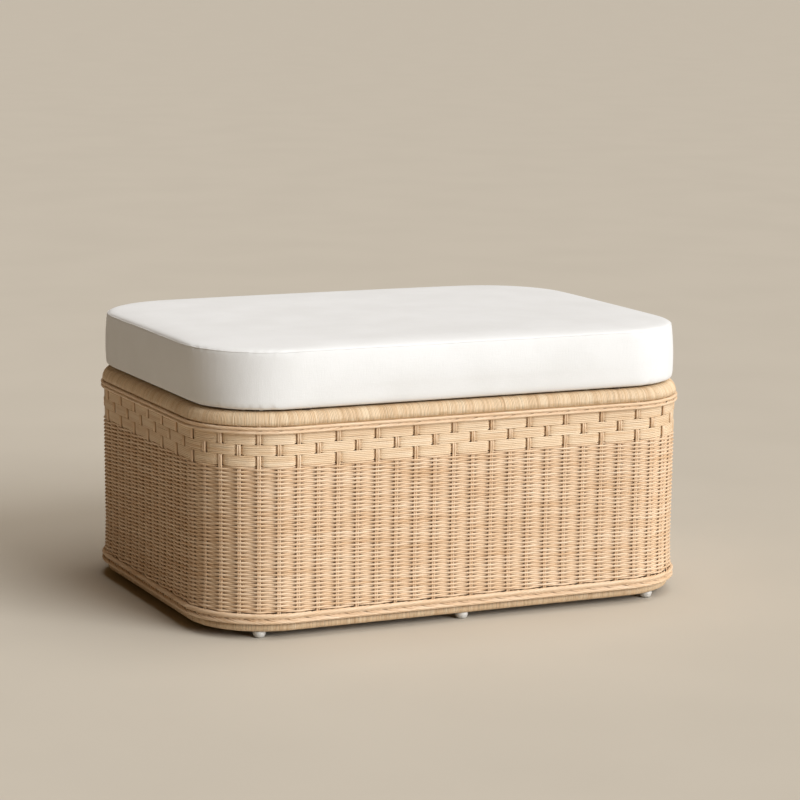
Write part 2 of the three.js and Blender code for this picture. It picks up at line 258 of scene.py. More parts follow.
def grid_faces(rows, columns, wrap_rows, wrap_columns, first=0):
    """Quads over a grid of points, row by row."""
    i = np.arange(rows if wrap_rows else rows - 1)
    j = np.arange(columns if wrap_columns else columns - 1)
    i, j = np.meshgrid(i, j, indexing="ij")
    i2, j2 = (i + 1) % rows, (j + 1) % columns
    quads = np.stack([i * columns + j, i2 * columns + j, i2 * columns + j2, i * columns + j2], axis=-1)
    return quads.reshape(-1, 4) + first


def make_object(name, points, faces, grain=None, caps=()):
    """A smooth mesh object from arrays. grain is where each point lies in its strand."""
    mesh = bpy.data.meshes.new(name)
    all_faces = [tuple(f) for f in faces.tolist()] + [tuple(c) for c in caps]
    mesh.from_pydata(points.reshape(-1, 3).tolist(), [], all_faces)
    mesh.polygons.foreach_set("use_smooth", np.ones(len(mesh.polygons), bool))
    if grain is not None:
        attribute = mesh.attributes.new("grain", "FLOAT_VECTOR", "POINT")
        attribute.data.foreach_set("vector", grain.astype(np.float32).ravel())
    mesh.update()
    piece = bpy.data.objects.new(name, mesh)
    bpy.context.scene.collection.objects.link(piece)
    return piece


def finish_piece(piece, body, slot, material, *replaced):
    """Gives a piece its material and its body, and hides the CAD nodes that it stands for. slot is not used.
    """
    piece.data.materials.append(material)
    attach(piece, body)
    if replaced:
        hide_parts(*replaced)
    return piece


def ring_steps(steps):
    """Distances round the plan with the same steps from each stake to the next."""
    stakes = FIRST_STAKE + STAKE_PITCH * np.arange(STAKES)
    return (stakes[:, None] + STAKE_PITCH * steps[None, :]).ravel()


def ring_strands(name, strands, s, flatness=1.0):
    """Closed strands round the whole plan. Each one is (inset function, z function, radius, number)."""
    sides = STRAND_SIDES
    turn = circle(sides)
    points, grains, faces = [], [], []
    for strand, (inset_at, z_at, radius, number) in enumerate(strands):
        x, y, nx, ny = plan(s, inset_at(s))
        z = z_at(s)
        out = flatness * radius * np.cos(turn)
        up = radius * np.sin(turn)
        px = x[:, None] + nx[:, None] * out
        py = y[:, None] + ny[:, None] * out
        pz = z[:, None] + np.broadcast_to(up, px.shape)
        points.append(np.stack([px, py, pz], axis=-1).reshape(-1, 3))
        along = np.broadcast_to(s[:, None], px.shape)
        across = np.broadcast_to(turn * radius, px.shape)
        grains.append(np.stack([along, across, np.full(px.shape, number)], axis=-1).reshape(-1, 3))
        faces.append(grid_faces(len(s), sides, True, True, strand * len(s) * sides))
    return make_object(name, np.vstack(points), np.vstack(faces), np.vstack(grains))


def wall_inset(z):
    """How far in the middle of the woven wall lies at the height z: it is drawn in above its foot."""
    return np.interp(z, WALL_HEIGHTS, WALL_INSETS)


def weaver_offset(s, first_in_front):
    """How far out a weaver runs: in front of one stake and behind the next."""
    wave = np.cos(math.pi * (s - FIRST_STAKE) / STAKE_PITCH)
    offset = WEAVER_SWING * np.sign(wave) * np.abs(wave) ** WEAVER_SHARPNESS
    return offset if first_in_front else -offset


def band_dip(s, first_in_front):
    """1 where a band is right behind a stake, and 0 where its flat face shows."""
    hidden = STAKE_PITCH if first_in_front else 0
    from_dip = np.mod(s - FIRST_STAKE - hidden + STAKE_PITCH, 2 * STAKE_PITCH) - STAKE_PITCH
    return np.exp(-np.abs(from_dip / BAND_DIP) ** 3)


def uneven(rng):
    """A small slow rise and fall round the plan."""
    sway, phase = rng.uniform(*SWAY), rng.uniform(0, FULL_TURN)
    return lambda s: sway * np.sin(SWAY_WAVES * FULL_TURN * s / PERIMETER + phase)


def weaver(z, first_in_front, number, rng):
    """One round strand woven through the stakes at the height z."""
    rise = uneven(rng)
    return (
        lambda s: wall_inset(z) - weaver_offset(s, first_in_front),
        lambda s: z + rise(s),
        WEAVER_RADIUS,
        number,
    )


def band_strand(z, row_middle, radius, first_in_front, number, rng):
    """One strand of a band, which drops and draws in towards the band's middle behind the stakes."""
    rise = uneven(rng)
    return (
        lambda s: wall_inset(z) - BAND_FACE + BAND_DROP * band_dip(s, first_in_front),
        lambda s: z - (z - row_middle) * BAND_PINCH * band_dip(s, first_in_front) + rise(s),
        radius,
        number,
    )


def build_wall(material):
    """The fine weave, as WALL_PIECES pieces of some rows each."""
    low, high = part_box("woven_wall")
    rows = int((high.z - low.z) / WEAVER_PITCH)
    first_z = high.z - (rows - 0.5) * WEAVER_PITCH
    rng = np.random.default_rng(SEED)
    per_piece = math.ceil(rows / WALL_PIECES)
    for part in range(WALL_PIECES):
        strands = [
            weaver(first_z + row * WEAVER_PITCH, row % 2 == 0, row, rng)
            for row in range(part * per_piece, min(rows, (part + 1) * per_piece))
        ]
        piece = ring_strands(f"weave_{part + 1}", strands, ring_steps(WEAVER_STEPS))
        replaced = ["woven_wall"] if part == 0 else []
        finish_piece(piece, "base", "rattan_core", material, *replaced)


def build_bands(material):
    """Three rows of flat bands, each of BAND_STRANDS strands."""
    rng = np.random.default_rng(SEED + 1)
    for row in (1, 2, 3):
        node = f"band_row_{row}"
        low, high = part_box(node)
        pitch = (high.z - low.z) / (BAND_STRANDS - 2 * BAND_MARGIN)
        middle = (low.z + high.z) / 2
        strands = []
        for k in range(BAND_STRANDS):
            z = low.z + (k + 0.5 - BAND_MARGIN) * pitch
            number = BAND_NUMBER + 10 * row + k
            strands.append(band_strand(z, middle, BAND_FILL * pitch, row == 2, number, rng))
        piece = ring_strands(node + "_strands", strands, ring_steps(BAND_STEPS), BAND_FLATNESS)
        finish_piece(piece, "base", "rattan_band", material, node)


def braid_angle(s, shift):
    """How far round its path a bundle is: quick behind, and slow where it runs in front to the middle."""
    share = np.mod(s / (BRAID_BUNDLES * STAKE_PITCH) + shift, 1)
    at = [0, BRAID_SHOWN, 0.5, 0.5 + BRAID_SHOWN, 1]
    return np.interp(share, at, np.radians([90, 180, 270, 360, 450]))


def braid_strands(node, radius, points_right, first_number):
    """A flat four-bundle plait, whose bundles cross in front in a row of chevrons."""
    low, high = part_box(node)
    middle_z = (low.z + high.z) / 2
    reach_z = (high.z - low.z) / 2 - BRAID_LAP * radius
    middle_inset = low.y + HALF_DEPTH + BRAID_INSET * radius
    reach_out = BRAID_DEPTH * radius
    way = 1 if points_right else -1
    strands = []
    for bundle in range(BRAID_BUNDLES):
        for k in range(BUNDLE_STRANDS):
            shift = bundle / BRAID_BUNDLES + (k - (BUNDLE_STRANDS - 1) / 2) * BUNDLE_SPREAD

            def inset_at(s, shift=shift):
                return middle_inset + reach_out * np.sin(2 * braid_angle(way * s, shift))

            def z_at(s, shift=shift):
                return middle_z + reach_z * np.sin(braid_angle(way * s, shift))

            strands.append((inset_at, z_at, radius, first_number + 10 * bundle + k))
    return strands


def build_braids(material):
    """The braid under the rim and the heavier one at the foot, which point opposite ways."""
    for node, radius, points_right, number in (
        ("top_braid", 1.15 * MM, True, TOP_BRAID_NUMBER),
        ("bottom_braid", 1.45 * MM, False, BOTTOM_BRAID_NUMBER),
    ):
        strands = braid_strands(node, radius, points_right, number)
        piece = ring_strands(node + "_strands", strands, ring_steps(BRAID_STEPS))
        finish_piece(piece, "base", "rattan_core", material, node)


def build_wrap(node, material):
    """Peel wound round a rail: each turn is a low rounded ridge, leaning a little one way or the other, with
    painted shade darkening the groove beside it.
    """
    section, at = rounded(section_of(node), WRAP_SIDES)
    middle = section.mean(axis=0)
    turns = int(PERIMETER / TURN_WIDTH)
    rng = np.random.default_rng(SEED + 2)
    widths = rng.uniform(*TURN_WIDTHS, turns)
    edges = np.concatenate([[0], np.cumsum(widths)]) * PERIMETER / widths.sum()
    shares = np.array([share for share, _ in TURN_SHAPE])
    shape = np.array([height for _, height in TURN_SHAPE])
    s = (edges[:-1, None] + np.diff(edges)[:, None] * shares).ravel()
    lift = (rng.uniform(*TURN_HEIGHTS, turns)[:, None] * shape * TURN_HEIGHT).ravel()
    # Painted shade: strongest in the groove between turns, where the ridge is lowest, and stronger or weaker
    # from turn to turn.
    painted_groove_shade = np.tile(1 - shape, turns) * np.repeat(rng.uniform(*TURN_PAINTED_SHADES, turns), len(shape))
    number = np.repeat(TURN_NUMBER + np.arange(turns), len(shape))
    away = section - middle
    away /= np.linalg.norm(away, axis=1)[:, None]
    base = section - TURN_SINK * TURN_HEIGHT * away
    inset = base[None, :, 0] + lift[:, None] * away[None, :, 0]
    z = base[None, :, 1] + lift[:, None] * away[None, :, 1]
    lean = TURN_LEAN * (np.sin(3 * FULL_TURN * s / PERIMETER + 1) + np.sin(11 * FULL_TURN * s / PERIMETER))
    leaned = s[:, None] + lean[:, None] * (z - middle[1])
    x, y, _, _ = plan(leaned, inset)
    points = np.stack([x, y, z], axis=-1).reshape(-1, 3)
    along = np.broadcast_to(at[None, :], inset.shape)
    across = np.broadcast_to(s[:, None], inset.shape)
    numbers = np.broadcast_to(number[:, None], inset.shape)
    grain = np.stack([along, across, numbers], axis=-1).reshape(-1, 3)
    faces = grid_faces(len(s), len(section), True, True)[:, ::-1]
    piece = make_object(node + "_turns", points, faces, grain)
    attribute = piece.data.attributes.new("painted_groove_shade", "FLOAT", "POINT")
    attribute.data.foreach_set("value", np.repeat(painted_groove_shade, len(section)).astype(np.float32))
    finish_piece(piece, "base", "rattan_peel", material, node)


def stake_bends(stake):
    """(height, how far out) of the places where a stake bends in front of or behind a band row."""
    places = []
    for row in (3, 2, 1):
        low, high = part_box(f"band_row_{row}")
        in_front = (row == 2) == (stake % 2 == 1)
        bend = STAKE_BEND if in_front else -STAKE_BEND
        heights = (low.z + STAKE_BEND_EDGE, (low.z + high.z) / 2, high.z - STAKE_BEND_EDGE)
        places += [(height, bend) for height in heights]
    return places


def build_stakes(material):
    """A pair of upright rods at each stake, from the bottom rail to the top rail."""
    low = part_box("bottom_rail_wrap")[1].z
    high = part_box("top_rail")[0].z + STAKE_TOP
    bands_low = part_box("band_row_3")[0].z
    heights = np.linspace(low, bands_low - STAKE_BEND_RUN, STAKE_STEPS)
    below = [(height, STAKE_STAND) for height in heights]
    above = [(high - STAKE_STRAIGHT, STAKE_STAND), (high, STAKE_STAND)]
    sides = STAKE_ROD_SIDES
    turn = circle(sides)
    points, grains, faces, caps = [], [], [], []
    for stake in range(STAKES):
        z, out_by = np.array(below + stake_bends(stake) + above).T
        for side in (-1, 1):
            rod = len(points)
            s = FIRST_STAKE + stake * STAKE_PITCH + side * STAKE_ROD_SPREAD * STAKE_ROD_RADIUS
            x, y, nx, ny = plan(np.full(z.shape, s), wall_inset(z) - out_by)
            out, along = STAKE_ROD_RADIUS * np.cos(turn), STAKE_ROD_RADIUS * np.sin(turn)
            px = x[:, None] + nx[:, None] * out - ny[:, None] * along
            py = y[:, None] + ny[:, None] * out + nx[:, None] * along
            pz = np.broadcast_to(z[:, None], px.shape)
            points.append(np.stack([px, py, pz], axis=-1).reshape(-1, 3))
            across = np.broadcast_to(turn * STAKE_ROD_RADIUS, px.shape)
            grains.append(np.stack([pz, across, np.full(px.shape, ROD_NUMBER + rod)], axis=-1).reshape(-1, 3))
            first = rod * len(z) * sides
            faces.append(grid_faces(len(z), sides, False, True, first)[:, ::-1])
            caps.append([first + k for k in range(sides)][::-1])
            caps.append([first + (len(z) - 1) * sides + k for k in range(sides)])
    piece = make_object("stakes", np.vstack(points), np.vstack(faces), np.vstack(grains), caps)
    finish_piece(piece, "base", "rattan_core", material)


# ---- Materials ----

def node_material(name):
    """A new material with its node tree and its shader."""
    material = bpy.data.materials.new(name)
    material.use_nodes = True
    tree = material.node_tree
    shader = tree.nodes["Principled BSDF"]
    return material, tree, shader


def add_node(tree, kind, inputs=None, **settings):
    """A new node with its settings made and each input given a value or linked to a socket."""
    node = tree.nodes.new(kind)
    for key, value in settings.items():
        setattr(node, key, value)
    for key, value in (inputs or {}).items():
        if isinstance(value, bpy.types.NodeSocket):
            tree.links.new(value, node.inputs[key])
        else:
            node.inputs[key].default_value = value
    return node


def ramp(tree, factor, stops):
    """The colour of a ramp at a factor. stops are (position, colour), in order."""
    node = add_node(tree, "ShaderNodeValToRGB", {"Fac": factor})
    elements = node.color_ramp.elements
    elements[0].position, elements[0].color = stops[0][0], (*stops[0][1], 1)
    elements[1].position, elements[1].color = stops[-1][0], (*stops[-1][1], 1)
    for position, colour in stops[1:-1]:
        elements.new(position).color = (*colour, 1)
    return node.outputs["Color"]


def rattan(name, dark, middle, light, roughness=0.5, paints_groove_shade=False):
    """Cane whose tone changes along and between strands, with fine streaks along the grain."""
    material, tree, shader = node_material(name)
    grain = add_node(tree, "ShaderNodeAttribute", attribute_name="grain").outputs["Vector"]

    def noise_over(stretch, detail):
        """Noise, stretched along the strand, across it and from strand to strand."""
        at = add_node(tree, "ShaderNodeVectorMath", {0: grain, 1: stretch}, operation="MULTIPLY")
        return add_node(
            tree, "ShaderNodeTexNoise", {"Vector": at.outputs[0], "Scale": 1.0, "Detail": detail}
        ).outputs["Fac"]

    patches = noise_over((9.0, 0.0, 0.23), 2.0)
    strands = noise_over((5.0, 0.0, 17.3), 1.0)
    streaks = noise_over((60.0, 2600.0, 3.1), 4.0)
    tone = add_node(
        tree, "ShaderNodeMix", {"Factor": 0.5, "A": patches, "B": strands}, data_type="FLOAT"
    ).outputs[0]
    tone = add_node(
        tree, "ShaderNodeMix", {"Factor": 0.3, "A": tone, "B": streaks}, data_type="FLOAT"
    ).outputs[0]
    colour = ramp(tree, tone, [(0.34, dark), (0.47, middle), (0.62, light)])
    # Painted shade: where the groove attribute is high, the colour turns towards a near-black copy of dark,
    # standing for the shade between turns of peel.
    if paints_groove_shade:
        painted_groove_shade = add_node(tree, "ShaderNodeAttribute", attribute_name="painted_groove_shade").outputs["Fac"]
        colour = add_node(
            tree,
            "ShaderNodeMix",
            {"Factor": painted_groove_shade, "A": colour, "B": (*(0.2 * c for c in dark), 1)},
            data_type="RGBA",
        ).outputs["Result"]
    tree.links.new(colour, shader.inputs["Base Color"])
    gloss = add_node(
        tree, "ShaderNodeMapRange", {"Value": streaks, "To Min": roughness - 0.1, "To Max": roughness + 0.15}
    )
    tree.links.new(gloss.outputs[0], shader.inputs["Roughness"])
    bump = add_node(tree, "ShaderNodeBump", {"Height": streaks, "Strength": 0.35, "Distance": 0.3 * MM})
    tree.links.new(bump.outputs["Normal"], shader.inputs["Normal"])
    return material


def woven_fabric(name, colour, shade, thread, depth, sheen=0.25):
    """Plain-woven cloth: fine threads along the row axes, thread apart, with faint unevenness of colour."""
    material, tree, shader = node_material(name)
    place = add_node(tree, "ShaderNodeTexCoord").outputs["Object"]
    fine, long = 1 / thread, 0.06 / thread
    threads = []
    for stretch in ((long, fine, fine), (fine, long, fine), (fine, fine, long)):
        at = add_node(tree, "ShaderNodeVectorMath", {0: place, 1: stretch}, operation="MULTIPLY")
        threads.append(
            add_node(
                tree, "ShaderNodeTexNoise", {"Vector": at.outputs[0], "Scale": 1.0, "Detail": 1.0}
            ).outputs["Fac"]
        )
    height = add_node(tree, "ShaderNodeMath", {0: threads[0], 1: threads[1]}, operation="ADD").outputs[0]
    height = add_node(tree, "ShaderNodeMath", {0: height, 1: threads[2]}, operation="ADD").outputs[0]
    mottle = add_node(tree, "ShaderNodeTexNoise", {"Vector": place, "Scale": 12.0, "Detail": 4.0}).outputs[0]
    tone = add_node(
        tree, "ShaderNodeMath", {0: height, 1: 0.22, 2: mottle}, operation="MULTIPLY_ADD"
    ).outputs[0]
    painted = ramp(tree, tone, [(0.66, shade), (0.98, colour)])
    tree.links.new(painted, shader.inputs["Base Color"])
    bump = add_node(tree, "ShaderNodeBump", {"Height": height, "Strength": 0.4, "Distance": depth})
    tree.links.new(bump.outputs["Normal"], shader.inputs["Normal"])
    fuzz = add_node(
        tree, "ShaderNodeMapRange", {"Value": height, "From Max": 3.0, "To Min": 0.8, "To Max": 1.0}
    )
    tree.links.new(fuzz.outputs[0], shader.inputs["Roughness"])
    shader.inputs["Sheen Weight"].default_value = sheen
    shader.inputs["Sheen Roughness"].default_value = 0.5
    return material


def timber(name, dark, light, ring_scale, axis, roughness=0.6):
    """Sawn or peeled wood with long grain along one row axis."""
    material, tree, shader = node_material(name)
    place = add_node(tree, "ShaderNodeTexCoord").outputs["Object"]
    stretch = {"X": (0.06, 1, 1), "Y": (1, 0.06, 1), "Z": (1, 1, 0.06)}[axis]
    drawn = add_node(tree, "ShaderNodeVectorMath", {0: place, 1: stretch}, operation="MULTIPLY")
    broad = add_node(
        tree, "ShaderNodeTexNoise", {"Vector": drawn.outputs[0], "Scale": ring_scale, "Detail": 6.0,
                                     "Distortion": 0.6}
    )
    pores = add_node(
        tree, "ShaderNodeTexNoise", {"Vector": drawn.outputs[0], "Scale": 14 * ring_scale, "Detail": 2.0}
    )
    mixed = add_node(
        tree,
        "ShaderNodeMix",
        {"Factor": 0.4, "A": broad.outputs["Fac"], "B": pores.outputs["Fac"]},
        data_type="FLOAT",
    )
    colour = ramp(tree, mixed.outputs[0], [(0.35, dark), (0.65, light)])
    tree.links.new(colour, shader.inputs["Base Color"])
    gloss = add_node(
        tree,
        "ShaderNodeMapRange",
        {"Value": pores.outputs["Fac"], "To Min": roughness - 0.1, "To Max": roughness + 0.15},
    )
    tree.links.new(gloss.outputs[0], shader.inputs["Roughness"])
    bump = add_node(
        tree, "ShaderNodeBump", {"Height": pores.outputs["Fac"], "Strength": 0.3, "Distance": 0.4 * MM}
    )
    tree.links.new(bump.outputs["Normal"], shader.inputs["Normal"])
    return material


def moulded(name, colour, roughness, metallic=0.0, scale=400.0, wear=0.8):
    """Plastic or metal with a faint texture and small changes of tone."""
    material, tree, shader = node_material(name)
    place = add_node(tree, "ShaderNodeTexCoord").outputs["Object"]
    noise = add_node(tree, "ShaderNodeTexNoise", {"Vector": place, "Scale": scale, "Detail": 3.0})
    worn = tuple(wear * c for c in colour)
    painted = ramp(tree, noise.outputs["Fac"], [(0.35, worn), (0.6, colour)])
    tree.links.new(painted, shader.inputs["Base Color"])
    gloss = add_node(
        tree,
        "ShaderNodeMapRange",
        {"Value": noise.outputs["Fac"], "To Min": roughness - 0.08, "To Max": roughness + 0.12},
    )
    tree.links.new(gloss.outputs[0], shader.inputs["Roughness"])
    bump = add_node(
        tree, "ShaderNodeBump", {"Height": noise.outputs["Fac"], "Strength": 0.15, "Distance": 0.2 * MM}
    )
    tree.links.new(bump.outputs["Normal"], shader.inputs["Normal"])
    shader.inputs["Metallic"].default_value = metallic
    return material


def make_materials():
    """The material of each slot of the record."""
    return {
        "rattan_core": rattan("rattan_core", (0.60, 0.38, 0.20), (0.715, 0.51, 0.325), (0.79, 0.61, 0.43)),
        "rattan_band": rattan("rattan_band", (0.62, 0.40, 0.22), (0.735, 0.54, 0.345), (0.81, 0.645, 0.455)),
        "rattan_peel": rattan(
            "rattan_peel", (0.54, 0.345, 0.18), (0.745, 0.53, 0.32), (0.84, 0.67, 0.46), paints_groove_shade=True
        ),
        "cover_fabric": woven_fabric(
            "cover_fabric", (0.785, 0.785, 0.778), (0.745, 0.743, 0.732), 0.9 * MM, 0.3 * MM
        ),
        "frame_wood": timber("frame_wood", (0.42, 0.25, 0.11), (0.66, 0.45, 0.24), 30.0, "Z"),
        "plywood": timber("plywood", (0.50, 0.33, 0.17), (0.70, 0.52, 0.31), 9.0, "X"),
        # A real lining cloth, but its near-black colour is painted shade, standing for the dark inside that
        # shows through the gaps of the weave.
        "lining_fabric": woven_fabric(
            "lining_fabric", (0.03, 0.028, 0.026), (0.018, 0.017, 0.016), 1.2 * MM, 0.4 * MM, sheen=0.1
        ),
        "foam": woven_fabric("foam", (0.75, 0.68, 0.42), (0.62, 0.55, 0.32), 2.0 * MM, 0.6 * MM, sheen=0.0),
        "hinge_steel": moulded("hinge_steel", (0.62, 0.60, 0.57), 0.35, metallic=1.0),
        "glide_plastic": moulded("glide_plastic", (0.66, 0.64, 0.60), 0.4),
        # Real felt pads, but their dark brown is painted shade, chosen so that where they show they read as
        # the shaded gap under the lid.
        "bumper_felt": woven_fabric(
            "bumper_felt", (0.07, 0.045, 0.03), (0.04, 0.026, 0.018), 1.0 * MM, 0.5 * MM, sheen=0.05
        ),
    }


# ---- Small turned pieces ----

def turned(name, profile, place, sides=40):
    """A solid of revolution about a vertical axis. profile is (radius, z) points, axis to axis."""
    profile = np.array(profile)
    turn = circle(sides)
    radius, z = profile[1:-1, 0], profile[1:-1, 1]
    px = place[0] + radius[:, None] * np.cos(turn)
    py = place[1] + radius[:, None] * np.sin(turn)
    pz = np.broadcast_to(place[2] + z[:, None], px.shape)
    ring_points = np.stack([px, py, pz], axis=-1).reshape(-1, 3)
    ends = np.array([[place[0], place[1], place[2] + profile[k, 1]] for k in (0, -1)])
    faces = grid_faces(len(radius), sides, False, True)[:, ::-1]
    bottom, top = len(ring_points), len(ring_points) + 1
    last = (len(radius) - 1) * sides
    caps = []
    for k in range(sides):
        after = (k + 1) % sides
        caps.append((bottom, after, k))
        caps.append((top, last + k, last + after))
    return make_object(name, np.vstack([ring_points, ends]), faces, caps=caps)


def upright_nodes(prefix):
    """(node, middle of its foot, radius, height) of each upright round CAD node of one kind."""
    for node in sorted(n for n in frame["nodes"] if n.startswith(prefix)):
        low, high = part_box(node)
        foot = ((low.x + high.x) / 2, (low.y + high.y) / 2, low.z)
        yield node, foot, (high.x - low.x) / 2, high.z - low.z


def build_feet(material):
    """Moulded glides, rounded towards the floor."""
    for node, foot, radius, height in upright_nodes("foot_"):
        profile = [(0, 0), (0.4 * radius, 0), (0.62 * radius, 0.06 * height), (0.8 * radius, 0.2 * height),
                   (0.93 * radius, 0.42 * height), (radius, 0.7 * height), (radius, height), (0, height)]
        piece = turned(node + "_glide", profile, foot)
        finish_piece(piece, "base", "glide_plastic", material, node)


def build_posts(material):
    """Cane posts: straight poles, each with a faint ring at a joint of the cane."""
    for index, (node, foot, radius, height) in enumerate(upright_nodes("post_")):
        joint = (0.3 + 0.07 * index) * height
        profile = [(0, 0), (0.96 * radius, 0), (radius, 1 * MM)]
        for at, bulge in ((-4, 0), (-1.5, 0.5), (0, 0.25), (1.5, 0.55), (4, 0)):
            profile.append((radius + bulge * MM, joint + at * MM))
        profile += [(radius, height - 1 * MM), (0.96 * radius, height), (0, height)]
        piece = turned(node + "_pole", profile, foot)
        finish_piece(piece, "base", "frame_wood", material, node)


def build_bumpers(material):
    """Felt pads under the lid, narrower where they meet the rim."""
    for node, foot, radius, height in upright_nodes("bumper_"):
        profile = [(0, 0), (0.9 * radius, 0), (radius, 0.3 * height), (radius, height), (0, height)]
        piece = turned(node + "_pad", profile, foot)
        finish_piece(piece, "lid", "bumper_felt", material, node)


# ---- Lid ----

def lid_outline(inset, z, count=AROUND):
    """Points of the lid's plan outline at a height, evenly round it."""
    share = min(1, max(0, (z - COVER_Z) / (SEAM_Z - COVER_Z)))
    corner = LID_CORNER_AT_BASE + share * (LID_CORNER_AT_SEAM - LID_CORNER_AT_BASE)
    radius = max(corner - inset, LEAST_LID_CORNER)
    hx, hy = HALF_LENGTH - inset - radius, HALF_DEPTH - inset - radius
    runs = np.array([2 * hy, QUARTER * radius, 2 * hx, QUARTER * radius] * 2)
    ends = np.concatenate([[0], np.cumsum(runs)])
    at = np.linspace(0, ends[-1], count, endpoint=False)
    points = []
    corners = [(-hx, -hy), (hx, -hy), (hx, hy), (-hx, hy)]
    for distance in at:
        piece = min(int(np.searchsorted(ends, distance, side="right")) - 1, 7)
        side, rest = piece // 2, distance - ends[piece]
        angle = math.pi + side * QUARTER
        cx, cy = corners[side]
        if piece % 2:
            angle += rest / radius
        else:
            back = rest - runs[piece]
            cx -= math.sin(angle) * back
            cy += math.cos(angle) * back
        points.append((cx + radius * math.cos(angle), cy + radius * math.sin(angle), z))
    return np.array(points)


def cushion_profile():
    """(inset, z) from the middle of the top over the edge, under the board and back inside."""
    board_low, board_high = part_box("lid_board")
    inner = board_low.x + HALF_LENGTH - BOARD_CLEARANCE
    underside = COVER_Z / MM - COVER_HANG / MM
    outer = [
        (170, 420), (120, 419.8), (80, 419.5), (45, 419.0), (26, 418.2), (15, 417.2),
        (9.6, 416.0), (7.5, 414.8), (SEAM_INSET / MM, SEAM_Z / MM), (6.3, 411), (6.0, 402),
        (5.9, 388), (6.3, 372), (7.2, 358), (8.6, 345), (9.4, 337), (10.0, 333), (11.6, underside),
        (MARGIN_INSET / MM, underside),
    ]
    margin_top = COVER_Z + 1.1 * MM
    board_top = board_high.z + 0.3 * MM
    inside = [
        (MARGIN_INSET, margin_top), (inner + 3 * MM, margin_top), (inner, margin_top + 2.6 * MM),
        (inner, board_top), (60 * MM, board_top), (170 * MM, board_top),
    ]
    return [(a * MM, b * MM) for a, b in outer] + inside


def raw_cushion():
    """The cushion before it swells: its profile carried round the lid."""
    profile = cushion_profile()
    loops = np.stack([lid_outline(inset, z) for inset, z in profile])
    faces = grid_faces(len(profile), AROUND, False, True)
    last = (len(profile) - 1) * AROUND
    caps = [list(range(AROUND)), [last + k for k in range(AROUND)][::-1]]
    return make_object("cushion_cover", loops.reshape(-1, 3), faces, caps=caps)


def apply_modifiers(piece):
    """Replaces the piece's mesh with what its modifiers make of it."""
    evaluated = piece.evaluated_get(bpy.context.evaluated_depsgraph_get())
    mesh = bpy.data.meshes.new_from_object(evaluated)
    piece.modifiers.clear()
    piece.data = mesh


def swell(piece):
    """Pressure from inside swells the cloth, except near the board, where it is held."""
    remesh = piece.modifiers.new("remesh", "REMESH")
    remesh.mode, remesh.voxel_size = "VOXEL", CLOTH_VOXEL
    apply_modifiers(piece)
    before = np.array([v.co for v in piece.data.vertices])
    held = piece.vertex_groups.new(name="held")
    stuck = [i for i, p in enumerate(before) if p[2] < COVER_Z + HELD_HEIGHT]
    held.add(stuck, 1.0, "REPLACE")
    cloth = piece.modifiers.new("cloth", "CLOTH")
    settings = cloth.settings
    settings.vertex_group_mass = "held"
    settings.use_pressure = True
    settings.uniform_pressure_force = SWELL_PRESSURE
    settings.effector_weights.gravity = 0.0
    settings.quality = CLOTH_QUALITY
    scene = bpy.context.scene
    for number in range(1, CLOTH_FRAMES + 1):
        scene.frame_set(number)
    apply_modifiers(piece)
    scene.frame_set(1)
    after = np.array([v.co for v in piece.data.vertices])
    move = spread_evenly(piece.data, after - before)
    far = np.linalg.norm(move, axis=1)
    move *= np.minimum(1, SWELL_CAP / np.maximum(far, 1e-9))[:, None]
    piece.data.vertices.foreach_set("co", (before + move).astype(np.float32).ravel())
    piece.data.update()


def spread_evenly(mesh, move):
    """Smooths a movement of the mesh's points over their neighbours, so that it leaves no creases."""
    edges = np.zeros(2 * len(mesh.edges), int)
    mesh.edges.foreach_get("vertices", edges)
    a, b = edges.reshape(-1, 2).T
    count = np.bincount(np.concatenate([a, b]), minlength=len(move))[:, None]
    for _ in range(SWELL_SMOOTHING):
        total = np.zeros_like(move)
        np.add.at(total, a, move[b])
        np.add.at(total, b, move[a])
        move = total / np.maximum(count, 1)
    return move


def build_cushion(material):
    """The upholstered cushion with its cover and the cover's seam."""
    piece = raw_cushion()
    swell(piece)
    smooth = piece.modifiers.new("smooth", "SUBSURF")
    smooth.levels = smooth.render_levels = 1
    apply_modifiers(piece)
    piece.data.polygons.foreach_set("use_smooth", np.ones(len(piece.data.polygons), bool))
    finish_piece(piece, "lid", "cover_fabric", material, "cover_side_band", "cover_top_panel", "cushion_foam")
    build_seam(piece, material)


def build_seam(cushion, material):
    """The sewn edge between the top panel and the side band, lying on the finished cover."""
    bpy.context.view_layer.update()
    count, sides, window = SEAM_STEPS, SEAM_SIDES, SEAM_WAVER_STEPS
    path = []
    for point in lid_outline(SEAM_INSET, SEAM_Z, count):
        _, at, normal, _ = cushion.closest_point_on_mesh(Vector(point))
        path.append((*at, *normal))
    path = np.array(path)
    rng = np.random.default_rng(SEED + 3)
    rough = rng.normal(0, 1, count + 2 * (window - 1))
    waver = np.convolve(rough, np.ones(window) / window, "same")[window - 1:1 - window] * SEAM_WAVER
    centre = path[:, :3] + np.stack([np.zeros(count), np.zeros(count), waver], axis=-1)
    out = path[:, 3:]
    out = out / np.linalg.norm(out, axis=1)[:, None]
    along = np.roll(centre, -1, axis=0) - np.roll(centre, 1, axis=0)
    along /= np.linalg.norm(along, axis=1)[:, None]
    across = np.cross(along, out)
    turn = circle(sides)
    ridge = SEAM_STAND * np.cos(turn)[None, :, None] * out[:, None, :]
    spread = SEAM_HALF_WIDTH * np.sin(turn)[None, :, None] * across[:, None, :]
    points = centre[:, None, :] + ridge + spread
    faces = grid_faces(count, sides, True, True)
    piece = make_object("cover_seam", points.reshape(-1, 3), faces)
    finish_piece(piece, "lid", "cover_fabric", material)


# ---- Assembly ----

